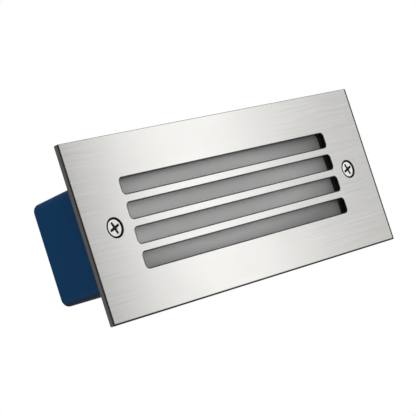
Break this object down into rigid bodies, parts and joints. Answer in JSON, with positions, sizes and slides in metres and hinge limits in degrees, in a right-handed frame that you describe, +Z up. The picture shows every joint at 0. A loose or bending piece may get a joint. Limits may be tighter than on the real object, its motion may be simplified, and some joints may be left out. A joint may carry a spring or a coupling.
{
  "type": "recessed step light",
  "caption": "Recessed step light: slotted stainless faceplate with a frosted lens, screwed to a moulded back box with a conduit entry.",
  "frame": {"origin": "centre of the faceplate, in the plane of the wall that the plate's seal rests on", "axes": "+X along the plate to the right as seen from the front, +Y into the wall, +Z up"},
  "size_m": [0.24, 0.0558, 0.1],
  "materials": {
    "brushed_stainless": "fine brushed stainless steel, satin",
    "screw_steel": "bright stainless screw",
    "zinc_steel": "zinc plated steel",
    "black_rubber": "closed-cell black rubber",
    "black_plastic": "moulded black plastic, fine grain",
    "frosted_glass": "frosted glass, satin",
    "navy_plastic": "moulded navy blue plastic, semi-gloss",
    "natural_nylon": "natural nylon",
    "brass": "turned brass",
    "white_enamel": "white reflective enamel",
    "board_mask": "white board mask",
    "chip_phosphor": "yellow phosphor window in a white case",
    "white_plastic": "white moulded plastic",
    "grey_plastic": "grey moulded plastic",
    "tinned_copper": "tinned copper",
    "earth_green": "green dyed zinc plate",
    "lead_black": "lead insulation, black",
    "lead_white": "lead insulation, white",
    "lead_green": "lead insulation, green",
    "lead_red": "lead insulation, red"
  },
  "bodies": {
    "housing": {"back_box": "navy_plastic", "thread_inserts": "brass", "conduit_plug": "navy_plastic", "reflector_tray": "white_enamel", "tray_screws": "zinc_steel", "led_board": "board_mask", "led_chips": "chip_phosphor", "board_screws": "zinc_steel", "board_connector": "white_plastic", "tray_grommet": "black_rubber", "driver_case": "white_plastic", "driver_screws": "zinc_steel", "terminal_block": "grey_plastic", "terminal_screws": "brass", "earth_lug": "tinned_copper", "earth_screw": "earth_green", "live_lead": "lead_black", "neutral_lead": "lead_white", "earth_lead": "lead_green", "positive_lead": "lead_red", "negative_lead": "lead_black"},
    "cover": {"faceplate": "brushed_stainless", "weld_studs": "zinc_steel", "wall_seal": "black_rubber", "rim_gasket": "black_rubber", "lens_frame": "black_plastic", "lens_seal": "black_rubber", "lens": "frosted_glass", "lens_clamps": "zinc_steel", "clamp_washers": "zinc_steel", "clamp_nuts": "zinc_steel", "screw_retainers": "natural_nylon"},
    "left_seal": {"left_screw_seal": "black_rubber"},
    "left_screw": {"left_cover_screw": "screw_steel"},
    "right_seal": {"right_screw_seal": "black_rubber"},
    "right_screw": {"right_cover_screw": "screw_steel"}
  },
  "joints": [
    {"name": "cover_lift", "type": "slide", "parent": "housing", "child": "cover", "axis": [0, -1, 0], "range_m": [0, 0.06]},
    {"name": "left_screw_back_out", "type": "slide", "parent": "cover", "child": "left_seal", "axis": [0, -1, 0], "range_m": [0, 0.0064]},
    {"name": "left_screw_turn", "type": "hinge", "parent": "left_seal", "child": "left_screw", "pos_m": [-0.0985, 0, 0], "axis": [0, -1, 0], "range_deg": [0, 2880]},
    {"name": "right_screw_back_out", "type": "slide", "parent": "cover", "child": "right_seal", "axis": [0, -1, 0], "range_m": [0, 0.0064]},
    {"name": "right_screw_turn", "type": "hinge", "parent": "right_seal", "child": "right_screw", "pos_m": [0.0985, 0, 0], "axis": [0, -1, 0], "range_deg": [0, 2880]}
  ],
  "couplings": [
    {"joint": "left_screw_turn", "follows": "left_screw_back_out", "rad_per_m": 7854},
    {"joint": "right_screw_turn", "follows": "right_screw_back_out", "rad_per_m": 7854}
  ]
}
